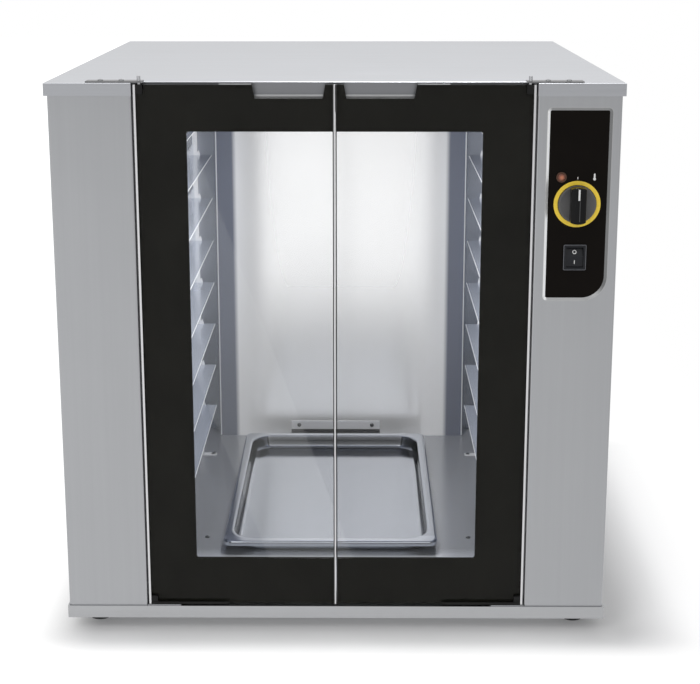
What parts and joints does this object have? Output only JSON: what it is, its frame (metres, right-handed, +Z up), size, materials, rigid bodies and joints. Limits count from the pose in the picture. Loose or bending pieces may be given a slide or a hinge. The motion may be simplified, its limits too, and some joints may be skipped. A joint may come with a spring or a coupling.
{
  "type": "dough proofing cabinet",
  "caption": "Free-standing stainless proofing cabinet with twin glass doors, side racks of tray runners, a water pan, and a column panel with thermostat knob, lamp and rocker switch.",
  "frame": {"origin": "on the floor, under the middle of the whole object with its knob and cable gland", "axes": "+X to the right seen from the front, +Y to the rear, +Z up; the doors face -Y"},
  "size_m": [0.942, 0.9564, 0.9705],
  "materials": {
    "outer_steel": "fine horizontal brushing",
    "roof_steel": "fine satin brushing",
    "cavity_steel": "bright satin steel",
    "rack_steel": "bright pressed steel",
    "pan_steel": "satin pressed steel with bright rim",
    "frame_steel": "satin steel",
    "pane": "clear flat glass",
    "black_enamel": "black enamel printed behind the glass",
    "edge_metal": "polished edge strip",
    "seal_rubber": "black rubber",
    "hinge_metal": "black hinge blocks",
    "bright_metal": "bright steel hardware",
    "magnet": "dark magnet blocks",
    "panel_black": "black control plate",
    "knob_black": "dark moulded knob",
    "ring_yellow": "yellow ring",
    "pointer_white": "white pointer",
    "lamp_amber": "red-brown lamp lens",
    "switch_black": "black switch moulding",
    "case_grey": "plain moulded case",
    "gland_black": "black nylon gland",
    "foot_black": "black feet",
    "heater_steel": "dull heating tube"
  },
  "bodies": {
    "cabinet": {"baffle_panel": "cavity_steel", "base_plinth": "outer_steel", "cable_gland": "gland_black", "catch_magnets": "magnet", "cavity_back": "cavity_steel", "cavity_ceiling": "cavity_steel", "cavity_floor": "cavity_steel", "cavity_wall_left": "cavity_steel", "cavity_wall_right": "cavity_steel", "column_left": "outer_steel", "column_right": "outer_steel", "control_plate": "panel_black", "dial_ring": "ring_yellow", "feet": "foot_black", "floor_supports": "frame_steel", "frame_header": "frame_steel", "frame_jamb_left": "frame_steel", "frame_jamb_right": "frame_steel", "frame_sill": "frame_steel", "heating_element": "heater_steel", "hinge_foot_left": "bright_metal", "hinge_foot_right": "bright_metal", "hinge_pins": "bright_metal", "hinge_plate_left": "bright_metal", "hinge_plate_right": "bright_metal", "lamp_bezel": "switch_black", "lamp_lens": "lamp_amber", "pan_stop": "frame_steel", "panel_bezel": "outer_steel", "rack_runners_left": "rack_steel", "rack_runners_right": "rack_steel", "rack_uprights_left": "rack_steel", "rack_uprights_right": "rack_steel", "rear_panel": "outer_steel", "roof_panel": "roof_steel", "screws": "bright_metal", "side_panel_left": "outer_steel", "side_panel_right": "outer_steel", "switch_frame": "switch_black", "thermostat": "case_grey"},
    "door_left": {"door_left_catch": "bright_metal", "door_left_edge_strip": "edge_metal", "door_left_gasket": "seal_rubber", "door_left_glass": "pane", "door_left_meeting_nose": "edge_metal", "door_left_meeting_trim": "seal_rubber", "door_left_pivots": "hinge_metal", "door_left_print": "black_enamel"},
    "door_right": {"door_right_catch": "bright_metal", "door_right_edge_strip": "edge_metal", "door_right_gasket": "seal_rubber", "door_right_glass": "pane", "door_right_meeting_trim": "seal_rubber", "door_right_pivots": "hinge_metal", "door_right_print": "black_enamel"},
    "knob": {"knob": "knob_black", "knob_pointer": "pointer_white", "knob_shaft": "bright_metal"},
    "rocker": {"switch_rocker": "switch_black"},
    "pan": {"water_pan": "pan_steel"}
  },
  "joints": [
    {"name": "door_left_hinge", "type": "hinge", "parent": "cabinet", "child": "door_left", "pos_m": [-0.317, -0.44935, 0.5035], "axis": [0, 0, -1], "range_deg": [0, 110]},
    {"name": "door_right_hinge", "type": "hinge", "parent": "cabinet", "child": "door_right", "pos_m": [0.317, -0.44935, 0.5035], "axis": [0, 0, 1], "range_deg": [0, 110]},
    {"name": "knob_turn", "type": "hinge", "parent": "cabinet", "child": "knob", "pos_m": [0.3978, -0.45335, 0.7615], "axis": [0, 1, 0], "range_deg": [0, 270]},
    {"name": "rocker_tilt", "type": "hinge", "parent": "cabinet", "child": "rocker", "pos_m": [0.3968, -0.44935, 0.672], "axis": [1, 0, 0], "range_deg": [0, 20]},
    {"name": "pan_slide", "type": "slide", "parent": "cabinet", "child": "pan", "axis": [0, -1, 0], "range_m": [0, 0.14]}
  ]
}
